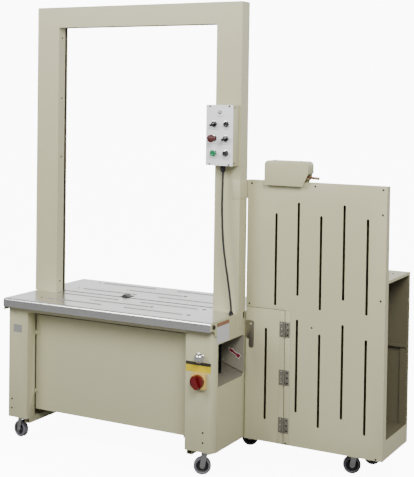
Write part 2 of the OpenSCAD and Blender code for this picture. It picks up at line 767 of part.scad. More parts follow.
module caster_fork(c) color([0.7, 0.7, 0.72]) translate([c.x, c.y, 0]) rotate([0, 0, c.z]) {
    zr = caster_top - 5 - gap;
    half = wheel_w / 2 + hub_gap;
    difference() {
        union() {
            translate([0, 0, zr - 7]) cylinder(r=25, h=7);
            block([0, -half - fork_t, zr - 10], [trail + 4, half + fork_t, zr - 7]);
            translate([0, 0, zr - 10]) cylinder(r=half + fork_t, h=3);
        }
        translate([0, 0, zr - 20]) cylinder(r=5.08, h=30);
    }
    for (s = [-1, 1]) {
        sheet_y(s > 0 ? half : -half - fork_t, fork_t) difference() {
            union() {
                polygon([[-2, zr - 7], [trail + 4, zr - 7], [trail + 11, wheel_d / 2],
                    [trail - 11, wheel_d / 2]]);
                translate([trail, wheel_d / 2]) circle(r=11);
            }
            translate([trail, wheel_d / 2]) circle(r=axle_r);
        }
    }
    rod_y([trail, -half - 6, wheel_d / 2], axle_r, 2 * half + 12);
    for (y = [-half - fork_t - 4, half + fork_t]) rod_y([trail, y, wheel_d / 2], 6.5, 4);
}

module caster_wheel(c) color([0.5, 0.5, 0.52])
    translate([c.x, c.y, 0]) rotate([0, 0, c.z]) translate([trail, 0, wheel_d / 2]) rotate([-90, 0, 0])
        rotate_extrude($fn=72) {
            rim = wheel_d / 2;
            half = wheel_w / 2;
            translate([axle_r + 0.06, -half - hub_gap / 2]) square([5, 2 * half + hub_gap]);
            translate([8, -3]) square([16, 6]);
            translate([22, -half + 2]) square([5, 2 * half - 4]);
            difference() {
                translate([26, -half]) square([rim - 26, 2 * half]);
                for (s = [-1, 1]) translate([rim, s * half]) rotate(45) square(3, center=true);
            }
        }

module caster_fork_1() caster_fork(casters[0]);
module caster_fork_2() caster_fork(casters[1]);
module caster_fork_3() caster_fork(casters[2]);
module caster_fork_4() caster_fork(casters[3]);
module caster_fork_5() caster_fork(casters[4]);
module caster_fork_6() caster_fork(casters[5]);
module caster_wheel_1() caster_wheel(casters[0]);
module caster_wheel_2() caster_wheel(casters[1]);
module caster_wheel_3() caster_wheel(casters[2]);
module caster_wheel_4() caster_wheel(casters[3]);
module caster_wheel_5() caster_wheel(casters[4]);
module caster_wheel_6() caster_wheel(casters[5]);

/* Strap cabinet */
cab_z = base_z;
pool_y = cab_y + pool_d;
cab_back = cab_y + cab_d;
hatch_x = cab_x + 2;
knuckle_x = hatch_x + hatch_w + 1;
hatch_top = cab_z - 2 + hatch_h;
stagger = 52;
first_slot = cab_x + 141;
upper_slot_z = hatch_top + 19;
lower_slot_z = cab_z + 98;
hatch_slot_x = cab_x + 99;
strip_w = 27;
strip_t = 1;

module view_slots(z, from) for (i = [from:4])
    slot_outline(first_slot + slot_pitch * i, z + (i % 2) * stagger, slot_w, slot_l);

module cabinet_front_panel() color(cream) {
    sheet_y(cab_y, sheet_t) difference() {
        rect([cab_x, cab_z], [cab_right, cab_top]);
        rect([cab_x - e, cab_z - e], [knuckle_x + 1.5, hatch_top + 2]);
        view_slots(upper_slot_z, 0);
        for (i = [1:4]) slot_outline(first_slot + slot_pitch * i,
            lower_slot_z + (i % 2) * stagger, slot_w, slot_l);
    }
    block([knuckle_x + 1.5, cab_y - strip_t, cab_z], [knuckle_x + strip_w, cab_y, hatch_top]);
}

module cabinet_door() color(cream) {
    sheet_y(cab_y, sheet_t) difference() {
        rect([hatch_x, cab_z], [knuckle_x - 1.5, hatch_top]);
        slot_outline(hatch_slot_x, lower_slot_z, slot_w, slot_l);
    }
    block([knuckle_x - strip_w, cab_y - strip_t, cab_z], [knuckle_x - 1.5, cab_y, hatch_top]);
    block([hatch_x, cab_y - strip_t, cab_z + 286], [hatch_x + 14, cab_y, cab_z + 438]);
    rod_y([latch_x, cab_y - latch_t - 2 * gap, latch_z], 3, latch_t + 2 * gap);
    translate([latch_x, cab_y - latch_t - 2 * gap, latch_z]) rotate([90, 0, 0]) screw_head();
    for (z = hinge_zs) {
        block([knuckle_x - leaf_w, leaf_y, z],
            [knuckle_x - knuckle_r - hinge_gap, leaf_y + leaf_t, z + hinge_h]);
        for (k = [0, 2, 4]) {
            knuckle(z + k * knuckle_l + knuckle_gap / 2);
            knuckle_tab(z + k * knuckle_l + knuckle_gap / 2, -1);
        }
        screws_front(leaf_y, [for (dz = screw_dzs) [knuckle_x - 15, z + dz]]);
    }
}

// Butt hinges: three knuckles on the door's leaf, two on the fixed leaf
leaf_w = 24;
leaf_t = 1.8;
leaf_y = cab_y - strip_t - leaf_t;
hinge_h = 66;
hinge_zs = [cab_z + 52, cab_z + 260, cab_z + 470];
knuckle_r = 4.2;
knuckle_gap = 0.6;
knuckle_l = hinge_h / 5;
knuckle_y = leaf_y + leaf_t - knuckle_r;
hinge_pin_r = 2;
hinge_gap = 0.5;
screw_dzs = [10, hinge_h / 2, hinge_h - 10];

module knuckle(z) difference() {
    translate([knuckle_x, knuckle_y, z]) cylinder(r=knuckle_r, h=knuckle_l - knuckle_gap);
    translate([knuckle_x, knuckle_y, z - e]) cylinder(r=hinge_pin_r + 0.06, h=knuckle_l + 2 * e);
}

// Joins a knuckle to its leaf, which lies to the left (-1) or the right (1)
module knuckle_tab(z, dir) difference() {
    x1 = knuckle_x + dir * (knuckle_r + hinge_gap);
    block([min(knuckle_x, x1), leaf_y, z],
        [max(knuckle_x, x1), leaf_y + leaf_t, z + knuckle_l - knuckle_gap]);
    translate([knuckle_x, knuckle_y, z - e]) cylinder(r=hinge_pin_r + 0.5, h=knuckle_l + 2 * e);
}

module cabinet_hinges() color([0.62, 0.6, 0.56]) for (z = hinge_zs) {
    block([knuckle_x + knuckle_r + hinge_gap, leaf_y, z],
        [knuckle_x + leaf_w, leaf_y + leaf_t, z + hinge_h]);
    for (k = [1, 3]) {
        translate([knuckle_x, knuckle_y, z + k * knuckle_l + knuckle_gap / 2])
            cylinder(r=knuckle_r, h=knuckle_l - knuckle_gap);
        knuckle_tab(z + k * knuckle_l + knuckle_gap / 2, 1);
    }
    translate([knuckle_x, knuckle_y, z]) cylinder(r=hinge_pin_r, h=hinge_h);
}

latch_x = cab_x + 26;
latch_z = cab_z + 510;
latch_t = 2.5;
module door_latch() color([0.66, 0.65, 0.58]) {
    y0 = cab_y - latch_t - gap;
    difference() {
        sheet_y(y0, latch_t) {
            rounded([latch_x - 22, latch_z - 64], [latch_x + 15, latch_z + 16], 10);
            rect([latch_x - 22, latch_z - 30], [latch_x - 10, latch_z + 16]);
            rounded([latch_x - 9, latch_z - 104], [latch_x + 15, latch_z - 20], 11);
        }
        rod_y([latch_x, y0 - e, latch_z], 3.08, latch_t + 2 * e);
    }
}

bay_y = pool_y + sheet_t;
plinth_z = cab_z + plinth_h;
module cabinet_body() color(cream) {
    t = sheet_t;
    r = cab_right;
    // Strap pool box behind the slotted front
    block([cab_x, pool_y, cab_z], [r, bay_y, cab_top]);
    difference() {
        block([cab_x, cab_y + t, cab_top - t], [r, pool_y, cab_top]);
        block([hood_x + 20, cab_y + 8, cab_top - t - e], [lever_x - 14, pool_y - 4, cab_top + e]);
    }
    block([cab_x, cab_y + t, cab_z], [cab_x + t, pool_y, cab_top]);
    block([r - t, cab_y + t, cab_z], [r, pool_y, cab_top]);
    block([cab_x, cab_y + t, cab_z], [r, pool_y, cab_z + t]);
    // Reel bay
    difference() {
        block([cab_x, bay_y, cab_z], [r, cab_back, plinth_z]);
        block([cab_x + t, bay_y - e, cab_z - e], [r - t, cab_back - t, plinth_z - t]);
    }
    block([cab_x, bay_y, plinth_z], [cab_x + t, cab_back, roof_z]);
    difference() {
        block([cab_x, bay_y, roof_z - 12], [r, cab_back, roof_z]);
        block([cab_x + t, bay_y - e, roof_z - 13], [r - t, cab_back - t, roof_z - t]);
    }
    block([cab_x, cab_back - t, plinth_z], [r, cab_back, roof_z]);
    // Upper cover with its turned-in lower edge, and the corner post below it
    block([cab_x + 20, cab_back - 14, 540], [r - 4, cab_back - 12, roof_z - 12]);
    block([cab_x + 20, cab_back - 22, 540], [r - 4, cab_back - 12, 542]);
    block([cab_x + 20, cab_back - 22, 525], [r - 4, cab_back - 20, 542]);
    block([r - 36, cab_back - 14, plinth_z], [r - 4, cab_back - 12, 525]);
    for (x = [cab_x + 20, r - 6]) block([x, cab_back - 14, plinth_z], [x + 2, cab_back - t, roof_z - 12]);
    // Carriers for the two casters
    block([cab_right - 205, bay_y, cab_z], [cab_right - 105, cab_back - t, cab_z + 3]);
}

hood_x = cab_x + 90;
hood_front = cab_y - 23;
hood_top = cab_top + hood_h;
hood_low = cab_top - 17;
mouth_w = 27;
mouth_h = 54;
module hood_outline() {
    x1 = hood_x + hood_w;
    difference() {
        union() {
            rounded([hood_x, hood_low], [x1, hood_top], 18);
            rect([hood_x, hood_low], [hood_x + 40, hood_low + 40]);
        }
        polygon([[x1 - mouth_w, hood_low - e], [x1 + e, hood_low - e], [x1 + e, hood_low + mouth_h],
            [x1, hood_low + mouth_h], [x1 - mouth_w, hood_low]]);
    }
}
module hood() color(cream) {
    t = sheet_t;
    x1 = hood_x + hood_w;
    difference() {
        sheet_y(hood_front, bay_y - hood_front) hood_outline();
        sheet_y(hood_front + t, bay_y - hood_front - 2 * t)
            rounded([hood_x + t, cab_top - 60], [x1 - t, hood_top - t], 16);
        block([hood_x - e, hood_front + t, cab_top - 40], [x1 + e, bay_y + e, cab_top]);
        // The right wall ends above the lever
        block([x1 - 3 * t, hood_front + t, cab_top - e], [x1 + e, bay_y + e, hood_low + mouth_h]);
    }
    block([hood_x, cab_y - 2, cab_top - 17], [hood_x + hood_w - 40, cab_y, cab_top + 3]);
    block([hood_x, hood_front + t, cab_top - 17], [hood_x + t, cab_y, cab_top + 3]);
}

roller_x = hood_x + 80;
roller_z = cab_top + 42;
module hood_roller() color([0.6, 0.6, 0.62]) {
    y0 = hood_front + sheet_t + gap;
    y1 = bay_y - sheet_t - gap;
    rod_y([roller_x, y0, roller_z], 5, y1 - y0);
    rod_y([roller_x, y0 + 8, roller_z], roller_r, y1 - y0 - 16);
}

lever_x = hood_x + 150;
lever_z = cab_top + 26;
lever_l = 96;
module guide_lever() color([0.55, 0.33, 0.2]) {
    y0 = hood_front + sheet_t + gap;
    y1 = bay_y - sheet_t - gap;
    rod_y([lever_x, y0, lever_z], 4, y1 - y0);
    rod_y([lever_x, cab_y - 8, lever_z], 8, 26);
    translate([lever_x, cab_y + 5, lever_z]) rotate([0, 4, 0]) rod_x([0, 0, 0], 4.5, lever_l);
    sheet_y(cab_y - 8, 3) polygon([[lever_x - 6, lever_z - 7], [lever_x + 30, lever_z - 12],
        [lever_x + 46, lever_z + 6], [lever_x, lever_z + 8]]);
}

reel_x = cab_right - 311;
reel_z = 528;
reel_y0 = bay_y + 50;
axle_bore = 10;
flange_t = 2.5;
module strap_reel() color([0.5, 0.51, 0.53]) {
    for (y = [reel_y0, reel_y0 + flange_t + reel_w]) difference() {
        rod_y([reel_x, y, reel_z], flange_r, flange_t);
        rod_y([reel_x, y - e, reel_z], axle_bore + 0.08, flange_t + 2 * e);
        for (a = [0:60:300])
            rod_y([reel_x + 150 * cos(a), y - e, reel_z + 150 * sin(a)], 22, flange_t + 2 * e);
    }
    difference() {
        rod_y([reel_x, reel_y0, reel_z], hub_r, reel_w + 2 * flange_t);
        rod_y([reel_x, reel_y0 - e, reel_z], hub_r - 3, reel_w + 2 * flange_t + 2 * e);
    }
    difference() {
        union() {
            rod_y([reel_x, reel_y0, reel_z], 18, reel_w + 2 * flange_t);
            for (a = [0:90:270]) translate([reel_x, reel_y0, reel_z]) rotate([0, a, 0])
                block([12, 0, -3], [hub_r - 1, reel_w + 2 * flange_t, 3]);
        }
        rod_y([reel_x, reel_y0 - e, reel_z], axle_bore + 0.08, reel_w + 2 * flange_t + 2 * e);
    }
}

module reel_axle() color([0.6, 0.6, 0.62]) {
    rod_y([reel_x, bay_y, reel_z], axle_bore, reel_y0 + reel_w + 2 * flange_t + 10 - bay_y);
    rod_y([reel_x, bay_y, reel_z], 26, 10);
    rod_y([reel_x, reel_y0 - 10, reel_z], 16, 10 - 2 * gap);
    rod_y([reel_x, reel_y0 + reel_w + 2 * flange_t + 2 * gap, reel_z], 16, 8);
}

module link_bracket() color(cream) {
    z0 = cab_top - 82;
    z1 = cab_top;
    block([table_l - 38, col_y - 2, z0], [table_l + 2, col_y, z1]);
    block([table_l, col_y - 2, z0], [table_l + 2, cab_y + 30, z1]);
    block([table_l + 2, cab_y + 6, z0 + 4], [cab_x, cab_y + 30, z1 - 2]);
}

/* Screws */
head_l = 2.4;
// Domed head standing on a face; dir is the way the head points
module screw_head() intersection() {
    translate([0, 0, -2.4]) sphere(r=4.8);
    translate([-5, -5, 0]) cube([10, 10, head_l]);
}
module screws_front(y, pts) for (p = pts) translate([p.x, y, p.y]) rotate([90, 0, 0]) screw_head();
module screws_right(x, pts) for (p = pts) translate([x, p.x, p.y]) rotate([0, 90, 0]) screw_head();

module screws() color([0.25, 0.24, 0.22]) {
    screws_front(leg_y, [[leg_x + 20, base_z + 42], [leg_x + 20, base_z + 85],
        [table_l - 52, base_z + 42], [table_l - 52, base_z + 85]]);
    for (x = [box_x + 18, box_x + box_w - 18], z = [box_z + 5, box_z + box_h - 6])
        screws_front(box_y, [[x, z]]);
    screws_right(box_x + box_w, [[box_y + 14, box_z + 12], [box_y + 14, box_z + box_h - 12]]);
    screws_front(cab_y, [[cab_x + 20, cab_top - 14], [cab_x + 320, cab_top - 14],
        [cab_right - 17, cab_top - 14], [cab_right - 17, cab_top - 118], [cab_right - 20, cab_top - 475],
        [cab_x + 16, hatch_top + 16],
        [cab_x + 314, hatch_top - 60], [cab_right - 29, cab_z + 6]]);
    screws_front(cab_y - strip_t, [[knuckle_x + 12, cab_z + 6]]);
    for (z = hinge_zs, dz = screw_dzs) screws_front(leaf_y, [[knuckle_x + 15, z + dz]]);
    screws_right(col_w, [for (z = [718, 1317, 1597, 1884]) [col_y + 26, z]]);
    translate([cab_right - 46, cab_y + 230, roof_z]) screw_head();
    for (x = [hood_x + 35, hood_x + 160]) translate([x, hood_front + 34, hood_top]) screw_head();
    for (x = [60, 400, table_l - 400, table_l - 60], z = [base_z + 20, table_h - 60])
        translate([x, body_back, z]) rotate([-90, 0, 0]) screw_head();
    translate([table_l, 23, table_h - 20]) rotate([0, 90, 0]) {
        cylinder(r=10, h=2);
        cylinder(r=8, h=7, $fn=6);
        translate([0, 0, -6]) cylinder(r=4, h=6);
    }
}

placed() base_frame();
placed() front_frame();
placed() right_leg();
placed() left_end_panel();
placed() right_end_panel();
placed() rear_panel();
placed() front_door();
placed() table_front_plate();
placed() table_rear_plate();
placed() arch_left_column();
placed() arch_right_column();
placed() arch_top_beam();
placed() strap_track();
placed() control_box();
placed() control_face_plate();
placed() pilot_lamp();
placed() speed_selector();
placed() mode_selector();
placed() reset_button();
placed() feed_button();
placed() stop_button();
placed() start_button();
placed() cable_fittings();
placed() control_cable();
placed() main_switch_base();
placed() main_switch_handle();
placed() adjusting_knob();
placed() label_plates();
placed() strap_inlet_guide();
placed() head_frame();
placed() sealing_anvil();
placed() drive_motor();
placed() cam_shaft();
placed() feed_roller();
placed() electrics_box();
placed() caster_plates();
placed() caster_fork_1();
placed() caster_fork_2();
placed() caster_fork_3();
placed() caster_fork_4();
placed() caster_fork_5();
placed() caster_fork_6();
placed() caster_wheel_1();
placed() caster_wheel_2();
placed() caster_wheel_3();
placed() caster_wheel_4();
placed() caster_wheel_5();
placed() caster_wheel_6();
placed() cabinet_front_panel();
placed() cabinet_body();
placed() cabinet_door();
placed() cabinet_hinges();
placed() door_latch();
placed() hood();
placed() hood_roller();
placed() guide_lever();
placed() strap_reel();
placed() reel_axle();
placed() link_bracket();
placed() screws();
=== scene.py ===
"""Looks of an arch strapping machine and its strap dispenser cabinet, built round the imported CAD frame."""

import json
import math

import bmesh
import bpy
from mathutils import Matrix, Vector

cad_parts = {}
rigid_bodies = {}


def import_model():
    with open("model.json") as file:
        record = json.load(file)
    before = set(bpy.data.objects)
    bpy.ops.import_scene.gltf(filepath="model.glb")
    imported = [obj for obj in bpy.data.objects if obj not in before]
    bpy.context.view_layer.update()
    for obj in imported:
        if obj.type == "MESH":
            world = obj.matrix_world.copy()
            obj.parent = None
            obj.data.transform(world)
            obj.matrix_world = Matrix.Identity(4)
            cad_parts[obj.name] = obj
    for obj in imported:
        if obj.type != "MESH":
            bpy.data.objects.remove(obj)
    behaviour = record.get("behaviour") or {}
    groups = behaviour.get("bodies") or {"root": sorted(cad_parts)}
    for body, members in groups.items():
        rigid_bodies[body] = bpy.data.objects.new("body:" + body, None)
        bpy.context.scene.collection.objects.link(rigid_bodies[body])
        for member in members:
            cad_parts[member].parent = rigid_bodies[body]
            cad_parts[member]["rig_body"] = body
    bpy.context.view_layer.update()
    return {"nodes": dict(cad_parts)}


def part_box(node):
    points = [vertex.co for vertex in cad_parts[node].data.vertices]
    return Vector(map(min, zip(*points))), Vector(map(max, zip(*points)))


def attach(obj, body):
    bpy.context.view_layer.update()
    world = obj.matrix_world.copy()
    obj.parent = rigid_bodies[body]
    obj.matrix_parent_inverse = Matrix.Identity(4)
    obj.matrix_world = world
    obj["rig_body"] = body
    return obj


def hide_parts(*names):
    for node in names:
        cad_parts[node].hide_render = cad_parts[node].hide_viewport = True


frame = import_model()
nodes = frame["nodes"]
scene = bpy.context.scene

# The table's left front corner, from which places on the machine are counted in millimetres
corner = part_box("table_front_plate")[0]
TABLE_TOP = 668


def at(x, y, z):
    return Vector((corner.x + x / 1000, corner.y + y / 1000, z / 1000))


def middle(node):
    low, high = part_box(node)
    return (low + high) / 2


# --- Camera ---------------------------------------------------------------

def aim_camera(place, yaw, pitch, roll, lens, shift):
    yaw, pitch, roll = (math.radians(a) for a in (yaw, pitch, roll))
    ahead = Vector((-math.sin(yaw) * math.cos(pitch), math.cos(yaw) * math.cos(pitch), -math.sin(pitch)))
    side = Vector((math.cos(yaw), math.sin(yaw), 0))
    up = side.cross(ahead)
    right = math.cos(roll) * side + math.sin(roll) * up
    top = math.cos(roll) * up - math.sin(roll) * side
    data = bpy.data.cameras.new("camera")
    data.lens = lens
    data.sensor_width = 36
    data.shift_y = shift
    data.clip_end = 100
    camera = bpy.data.objects.new("camera", data)
    scene.collection.objects.link(camera)
    turned = Matrix((right, top, -ahead)).transposed().to_4x4()
    camera.matrix_world = Matrix.Translation(place) @ turned
    scene.camera = camera


aim_camera(Vector((2.3335, -4.2596, 1.5899)), 28.482, 1.638, 0.828, 81.54, -0.222)


# --- Finishes -------------------------------------------------------------

class Wire:
    """A shader socket that takes part in sums."""

    def __init__(self, finish, socket):
        self.finish = finish
        self.socket = socket

    def sum_up(self, operation, first, second=0.0):
        return self.finish.add("ShaderNodeMath", {"operation": operation}, {0: first, 1: second})

    def __add__(self, other):
        return self.sum_up("ADD", self, other)

    def __radd__(self, other):
        return self.sum_up("ADD", other, self)

    def __sub__(self, other):
        return self.sum_up("SUBTRACT", self, other)

    def __rsub__(self, other):
        return self.sum_up("SUBTRACT", other, self)

    def __mul__(self, other):
        return self.sum_up("MULTIPLY", self, other)

    def __rmul__(self, other):
        return self.sum_up("MULTIPLY", other, self)

    def __lt__(self, other):
        return self.sum_up("LESS_THAN", self, other)

    def __gt__(self, other):
        return self.sum_up("GREATER_THAN", self, other)

    def clipped(self):
        return self.finish.add("ShaderNodeClamp", {}, {0: self})


class Finish:
    """One material: constants go to the shader's own sockets, patterns come from add()."""

    def __init__(self, name, **constants):
        self.material = bpy.data.materials.new(name)
        self.material.use_nodes = True
        self.tree = self.material.node_tree
        self.shader = self.tree.nodes["Principled BSDF"]
        for key, value in constants.items():
            self.shader.inputs[key.replace("_", " ")].default_value = value
        self.place = self.add("ShaderNodeTexCoord", {}, {}, "Object")

    def add(self, kind, settings, sockets, out=0):
        node = self.tree.nodes.new(kind)
        for key, value in settings.items():
            setattr(node, key, value)
        for key, value in sockets.items():
            if isinstance(value, Wire):
                self.tree.links.new(value.socket, node.inputs[key])
            else:
                node.inputs[key].default_value = value
        return Wire(self, node.outputs[out])

    def feed(self, **wires):
        for key, wire in wires.items():
            self.tree.links.new(wire.socket, self.shader.inputs[key.replace("_", " ")])

    def noise(self, scale, stretch=(1, 1, 1), detail=4.0, rough=0.55, moved=(0, 0, 0)):
        spot = self.add("ShaderNodeMapping", {}, {"Vector": self.place, "Scale": stretch, "Location": moved})
        return self.add("ShaderNodeTexNoise", {}, {"Vector": spot, "Scale": scale, "Detail": detail,
            "Roughness": rough})

    def mix(self, share, one, other):
        return self.add("ShaderNodeMix", {"data_type": "RGBA"}, {0: share, 6: one, 7: other}, 2)

    def axis(self, name):
        return self.add("ShaderNodeSeparateXYZ", {}, {0: self.place}, name)

    def inside(self, *ranges):
        """1 between the given machine millimetres on each axis in turn, and 0 elsewhere."""
        share = 1.0
        for index, (low, high) in enumerate(ranges):
            place = self.axis("XYZ"[index])
            low, high = (at(*[value if k == index else 0 for k in range(3)])[index] for value in (low, high))
            share = share * (place > low) * (place < high)
        return share

    def bumps(self, height, strength, distance):
        self.feed(Normal=self.add("ShaderNodeBump", {}, {"Height": height, "Strength": strength,
            "Distance": distance}))


def shade(colour, times):
    return (*[min(1, c * times) for c in colour], 1)


def enamel(name, colour, roughness=0.36, dark=None):
    """Sprayed enamel on folded sheet: slow tone changes, orange peel, and darker, rougher patches towards
    the floor.
    """
    made = Finish(name, IOR=1.5, Coat_Roughness=0.25)
    tone = made.noise(2.2, detail=3)
    streaks = made.noise(5, stretch=(4, 4, 0.35), detail=5)
    height = made.axis("Z")
    # Darker and rougher in noisy patches towards the floor.
    near_floor = ((0.34 - height) * 2.2).clipped() * made.noise(22, detail=6)
    base = made.mix((tone * 0.55 + streaks * 0.45).clipped(), shade(colour, 0.95), shade(colour, 1.04))
    base = made.mix((near_floor * 0.4).clipped(), base, shade(colour, 0.6))
    # Painted shade: with a box given, the reel bay behind the strap pool turns dark brown and the given box,
    # the inside of the pool, near black.
    if dark:
        back = (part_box("cabinet_body")[1].y - corner.y) * 1000 - 1
        bay_shade = made.inside(DISPENSER_X, (POOL_BACK, back), (90, 854.8))
        base = made.mix(bay_shade, base, (0.13, 0.115, 0.07, 1))
        base = made.mix(made.inside(*dark), base, (0.045, 0.036, 0.022, 1))
    made.feed(Base_Color=base, Roughness=roughness - 0.06 + streaks * 0.12 + near_floor * 0.25)
    peel = made.noise(420, detail=2) * 0.25 + made.noise(5.5, detail=1) * 6
    made.bumps(peel, 0.08, 0.0008)
    return made.material


def brushed(name, colour, roughness, along=(0.04, 1, 1), depth=0.10, metal=1.0):
    """Metal with fine grain lines, cloudy wear and faint smears."""
    made = Finish(name, Metallic=metal)
    grain = made.noise(900, stretch=along, detail=3)
    cloud = made.noise(7, detail=5)
    smear = made.noise(26, stretch=(1, 0.3, 1), detail=6)
    wear = (cloud * 0.6 + grain * 0.4).clipped()
    made.feed(Base_Color=made.mix(wear, shade(colour, 0.82), shade(colour, 1.12)))
    made.feed(Roughness=roughness - 0.08 + grain * 0.10 + smear * 0.10)
    made.bumps(grain + cloud * 0.6, depth, 0.0003)
    return made.material


def worktop():
    """Polished stainless sheet on top, and along the front edge a skirt of the same steel painted dark and
    mottled as a painted reflection.
    """
    made = Finish("table_steel", Metallic=1.0)
    grain = made.noise(700, stretch=(0.03, 1, 1), detail=3)
    cloud = made.noise(5, stretch=(0.6, 1.6, 1), detail=5)
    blotch = made.noise(60, stretch=(0.5, 1, 1.5), detail=6, rough=0.7)
    skirt = made.inside((-1, 3), (-9, 4), (-9, 655))
    top = made.mix((cloud * 0.7 + grain * 0.3).clipped(), (0.62, 0.615, 0.61, 1), (0.82, 0.815, 0.81, 1))
    # Painted reflection: inside the skirt mask the steel gets a dark, mottled base colour.
    side = made.mix(((blotch - 0.35) * 2.6).clipped(), (0.05, 0.048, 0.045, 1), (0.34, 0.33, 0.32, 1))
    made.feed(Base_Color=made.mix(skirt, top, side),
        Roughness=0.15 + grain * 0.1 + blotch * 0.08 + skirt * 0.12)
    made.bumps(grain + cloud * 0.5, 0.08, 0.0003)
    return made.material


def plain_labels():
    """Printed foil with no print: yellow under a black band, pale under a brown band, and plain grey."""
    made = Finish("plain_labels")
    rub = made.noise(60, detail=6)
    edge = made.noise(900, detail=2)
    yellow = made.mix((rub * 0.8).clipped(), (0.58, 0.44, 0.005, 1), (0.72, 0.56, 0.01, 1))
    base = made.mix(made.inside((-9, 1200), (-9, 900), (475, 999)), yellow, (0.035, 0.03, 0.02, 1))
    base = made.mix(made.inside((-9, 500), (-9, 900), (400, 999)), base, (0.27, 0.27, 0.26, 1))
    pale = made.mix((edge * 0.8).clipped(), (0.52, 0.51, 0.54, 1), (0.66, 0.65, 0.67, 1))
    pale = made.mix(made.inside((1000, 1200), (-9, 900), (642, 999)), pale, (0.25, 0.12, 0.07, 1))
    side = made.inside((1099, 1200), (50, 900), (560, 999))
    made.feed(Base_Color=made.mix(side, base, pale), Roughness=0.36 + rub * 0.15)
    return made.material


def moulded(name, colour, roughness, grain=1200, depth=0.06):
    """Moulded plastic or rubber with a fine spark texture and handled patches."""
    made = Finish(name)
    spark = made.noise(grain, detail=2)
    worn = made.noise(40, detail=5)
    made.feed(Base_Color=made.mix((worn * 0.8).clipped(), shade(colour, 0.85), shade(colour, 1.18)))
    made.feed(Roughness=roughness - 0.05 + worn * 0.12)
    made.bumps(spark, depth, 0.0002)
    return made.material


DISPENSER_X = (1109, 1743)
POOL_BACK = 354.5

cream = (0.53, 0.51, 0.32)
cream_enamel = enamel("cream_enamel", cream)
# A darker copy of the cream for the recessed front door: painted shade.
door_shaded_enamel = enamel("door_shaded_enamel", shade(cream, 0.93)[:3], 0.4)
# The cabinet body, with painted shade inside its strap pool and its reel bay.
body_enamel = enamel("body_enamel", cream, 0.4, (DISPENSER_X, (317, POOL_BACK), (90, 1247)))
# Near-black enamel for the walls of the slots in the cabinet panels: painted shade in the slots.
slot_wall_shade = enamel("slot_wall_painted_shade", (0.028, 0.022, 0.013), 0.6)
# The inlet guide is cream sheet; this dark brown-grey is painted shade inside the inlet window.
inlet_shaded_enamel = enamel("inlet_shaded_enamel", (0.20, 0.185, 0.14), 0.5)
# A darker copy of the cream for the base frame low under the body: painted shade.
frame_shaded_enamel = enamel("frame_shaded_enamel", shade(cream, 0.8)[:3], 0.45)
table_steel = worktop()
labels = plain_labels()
face_plate = brushed("brushed_face_plate", (0.97, 0.975, 0.98), 0.4, along=(1, 1, 0.04), metal=0.0)
zinc = brushed("zinc_plate", (0.42, 0.42, 0.42), 0.34, along=(1, 1, 1))
chrome = brushed("chrome", (0.80, 0.80, 0.81), 0.10, along=(1, 1, 1), depth=0.02)
dark_steel = brushed("oiled_steel", (0.16, 0.155, 0.15), 0.42, along=(1, 1, 1))
track_steel = brushed("track_steel", (0.26, 0.24, 0.20), 0.45, along=(1, 1, 0.05))
hinge_steel = brushed("dull_hinge_steel", (0.36, 0.34, 0.29), 0.42, along=(1, 1, 0.1))
bronze = moulded("bronze_rod", (0.20, 0.10, 0.055), 0.34)
screw_black = brushed("blackened_screw", (0.03, 0.027, 0.024), 0.4, along=(1, 1, 1), metal=0.1)
# Near black for the painted shade of openings.
opening_painted_shade = moulded("opening_painted_shade", (0.012, 0.011, 0.01), 0.7)
black_plastic = moulded("black_plastic", (0.012, 0.012, 0.014), 0.38)
cable_rubber = moulded("cable_rubber", (0.02, 0.02, 0.021), 0.5, grain=700)
red_plastic = moulded("red_plastic", (0.13, 0.003, 0.004), 0.24)
dull_red = moulded("mushroom_red", (0.085, 0.018, 0.016), 0.36)
green_lens = moulded("green_lens", (0.010, 0.20, 0.075), 0.2)
lamp_lens = moulded("lamp_lens", (0.55, 0.54, 0.5), 0.12)
yellow_base = moulded("yellow_base", (0.72, 0.50, 0.14), 0.4)
white_mark = moulded("white_mark", (0.78, 0.72, 0.72), 0.45)
grey_mark = moulded("grey_mark", (0.16, 0.16, 0.19), 0.5)
arrow_red = moulded("arrow_red", (0.20, 0.022, 0.035), 0.45)
tread = moulded("grey_tread", (0.15, 0.15, 0.165), 0.6, grain=500, depth=0.12)
hub_black = moulded("hub_black", (0.012, 0.012, 0.013), 0.45)
hub_grey = moulded("hub_grey", (0.22, 0.22, 0.23), 0.45)
reel_plastic = moulded("reel_plastic", (0.17, 0.175, 0.19), 0.42)
motor_enamel = enamel("motor_enamel", (0.10, 0.12, 0.15), 0.45)


# --- Making pieces --------------------------------------------------------

def piece(name, bm, finish, body, replaced=(), sharp=38, flat=()):
    for face in bm.faces:
        face.smooth = face not in flat
    mesh = bpy.data.meshes.new(name)
    bm.to_mesh(mesh)
    bm.free()
    if "custom_normal" in mesh.attributes:
        mesh.attributes.remove(mesh.attributes["custom_normal"])
    mesh.set_sharp_from_angle(angle=math.radians(sharp))
    mesh.materials.append(finish)
    made = bpy.data.objects.new(name, mesh)
    scene.collection.objects.link(made)
    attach(made, body)
    if replaced:
        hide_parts(*replaced)
    return made


def gather(*shapes):
    whole = bmesh.new()
    for shape in shapes:
        part = bpy.data.meshes.new("part")
        shape.to_mesh(part)
        shape.free()
        whole.from_mesh(part)
        bpy.data.meshes.remove(part)
    return whole


